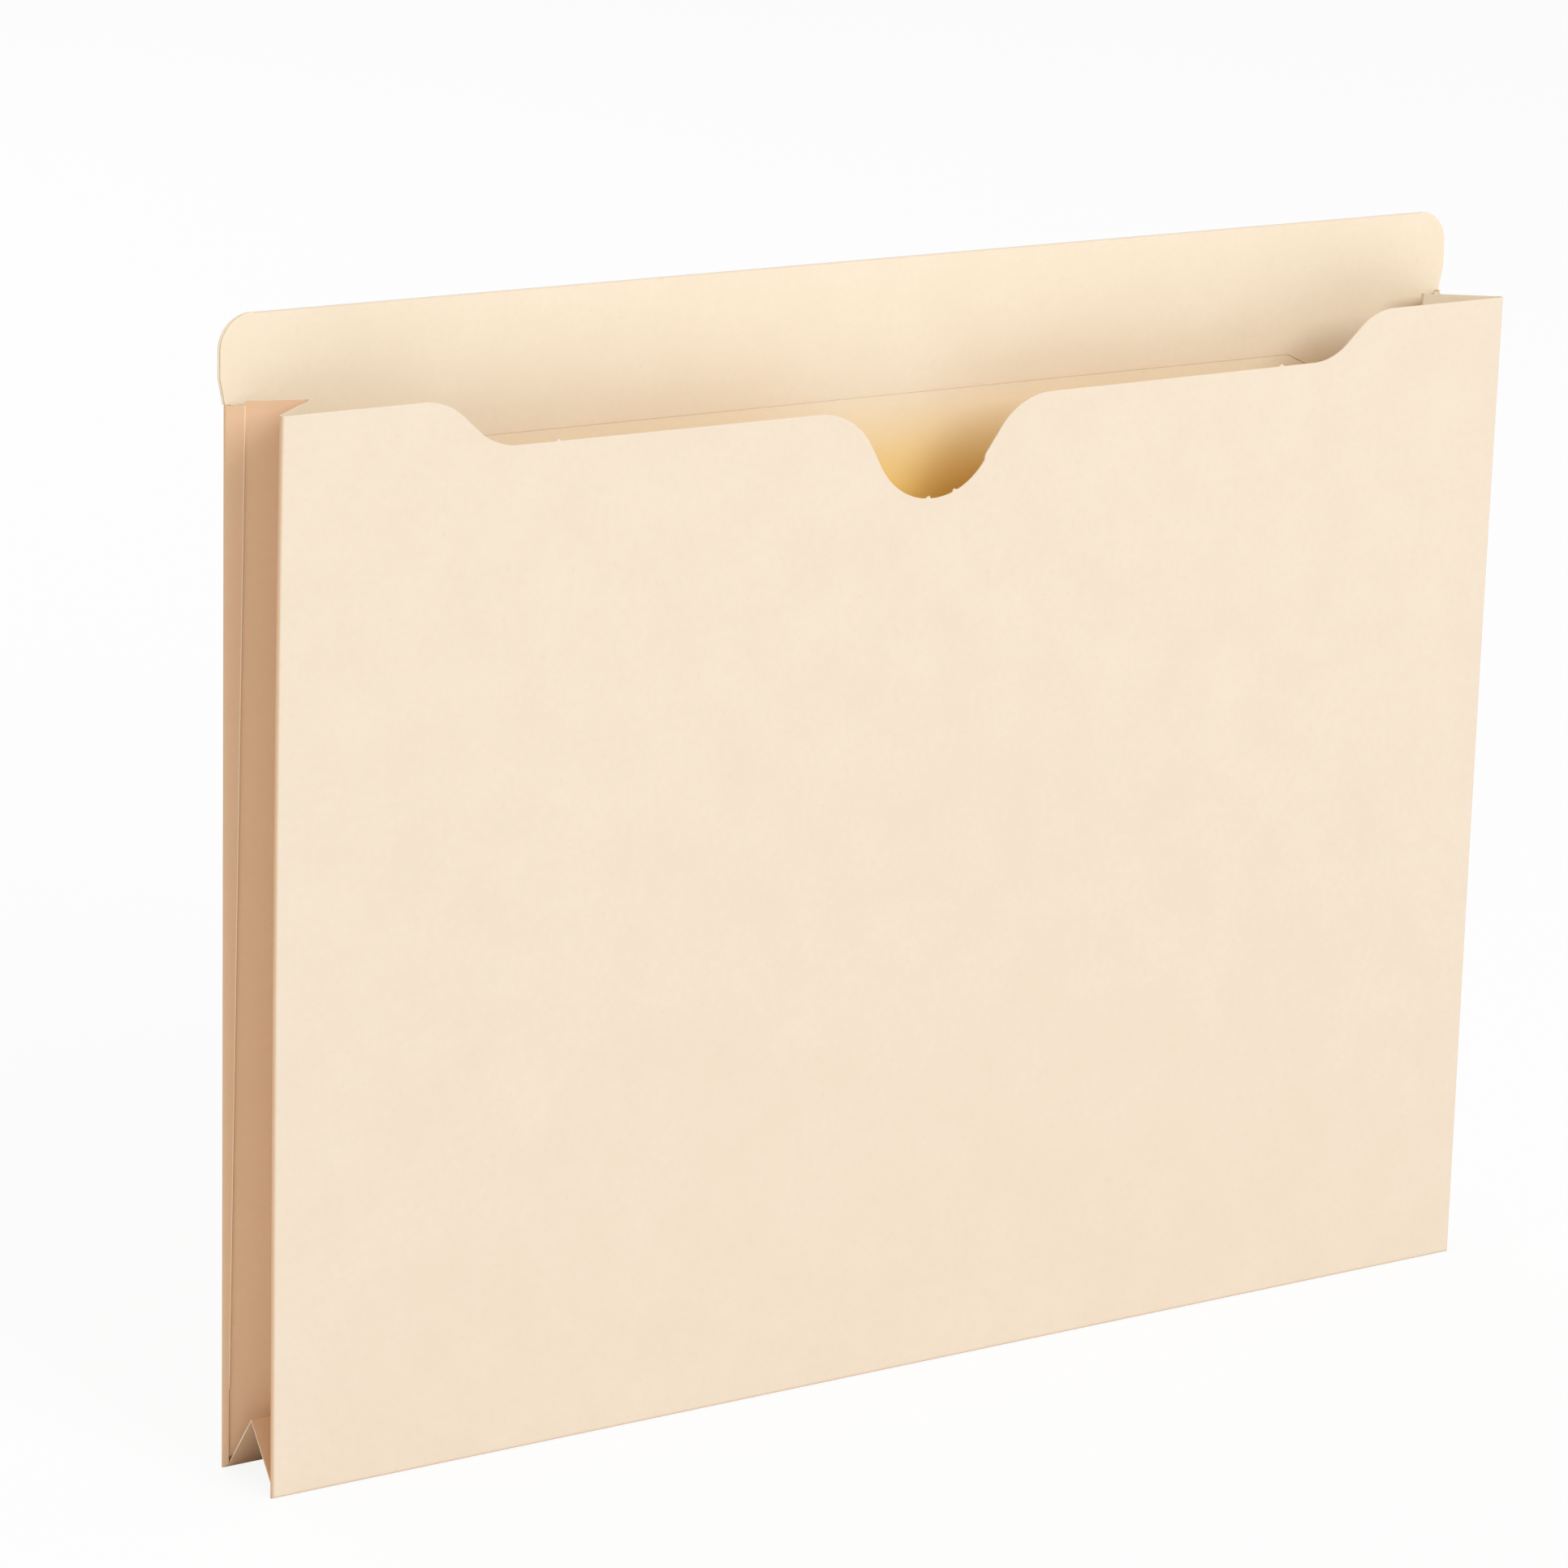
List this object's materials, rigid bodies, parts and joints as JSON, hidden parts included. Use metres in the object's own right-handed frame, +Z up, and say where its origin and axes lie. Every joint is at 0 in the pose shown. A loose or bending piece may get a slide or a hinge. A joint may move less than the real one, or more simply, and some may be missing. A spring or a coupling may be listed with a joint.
{
  "type": "expanding file jacket",
  "caption": "Manila expanding file jacket: flat back with a reinforced tab, lower front panel with a thumb notch, and pleated side and bottom gussets that let the pocket open out.",
  "frame": {"origin": "bottom centre of the jacket as it stands: mid width, mid depth, on the bottom folds", "axes": "+X along the width to the viewer's right, +Y towards the back panel, +Z up to the tab"},
  "size_m": [0.2986, 0.0208, 0.2286],
  "materials": {
    "manila": "matte",
    "glue": "matte"
  },
  "bodies": {
    "back": {"back_panel": "manila", "tab_ply": "manila", "tab_glue": "glue", "tab_fold": "manila", "left_rear_fold": "manila", "right_rear_fold": "manila", "bottom_rear_fold": "manila"},
    "left_rear": {"left_rear_leaf": "manila", "left_seam_flap": "manila", "left_seam_glue": "glue", "left_crease": "manila"},
    "left_front": {"left_front_leaf": "manila"},
    "right_rear": {"right_rear_leaf": "manila", "right_seam_flap": "manila", "right_seam_glue": "glue", "right_crease": "manila"},
    "right_front": {"right_front_leaf": "manila"},
    "bottom_rear": {"bottom_rear_leaf": "manila", "bottom_crease": "manila"},
    "bottom_front": {"bottom_front_leaf": "manila"},
    "front": {"front_panel": "manila", "left_front_fold": "manila", "right_front_fold": "manila", "bottom_front_fold": "manila"}
  },
  "joints": [
    {"name": "left_rear_hinge", "type": "hinge", "parent": "back", "child": "left_rear", "pos_m": [-0.1475, 0.00971, 0.115], "axis": [0, 0, -1], "range_deg": [-35, 49.5]},
    {"name": "left_crease_hinge", "type": "hinge", "parent": "left_rear", "child": "left_front", "pos_m": [-0.13579, 0, 0.115], "axis": [0, 0, 1], "range_deg": [-70, 99]},
    {"name": "left_front_hinge", "type": "hinge", "parent": "left_front", "child": "front", "pos_m": [-0.1475, -0.00971, 0.115], "axis": [0, 0, -1], "range_deg": [-35, 49.5]},
    {"name": "right_rear_hinge", "type": "hinge", "parent": "back", "child": "right_rear", "pos_m": [0.1475, 0.00971, 0.115], "axis": [0, 0, 1], "range_deg": [-35, 49.5]},
    {"name": "right_crease_hinge", "type": "hinge", "parent": "right_rear", "child": "right_front", "pos_m": [0.13579, 0, 0.115], "axis": [0, 0, -1], "range_deg": [-70, 99]},
    {"name": "bottom_rear_hinge", "type": "hinge", "parent": "back", "child": "bottom_rear", "pos_m": [0, 0.00971, 0.0007], "axis": [1, 0, 0], "range_deg": [-35, 49.5]},
    {"name": "bottom_crease_hinge", "type": "hinge", "parent": "bottom_rear", "child": "bottom_front", "pos_m": [0, 0, 0.01241], "axis": [-1, 0, 0], "range_deg": [-70, 99]}
  ],
  "couplings": [
    {"joint": "left_crease_hinge", "follows": "left_rear_hinge", "ratio": 2},
    {"joint": "left_front_hinge", "follows": "left_rear_hinge", "ratio": 1},
    {"joint": "right_rear_hinge", "follows": "left_rear_hinge", "ratio": 1},
    {"joint": "right_crease_hinge", "follows": "left_rear_hinge", "ratio": 2},
    {"joint": "bottom_rear_hinge", "follows": "left_rear_hinge", "ratio": 1},
    {"joint": "bottom_crease_hinge", "follows": "left_rear_hinge", "ratio": 2}
  ]
}
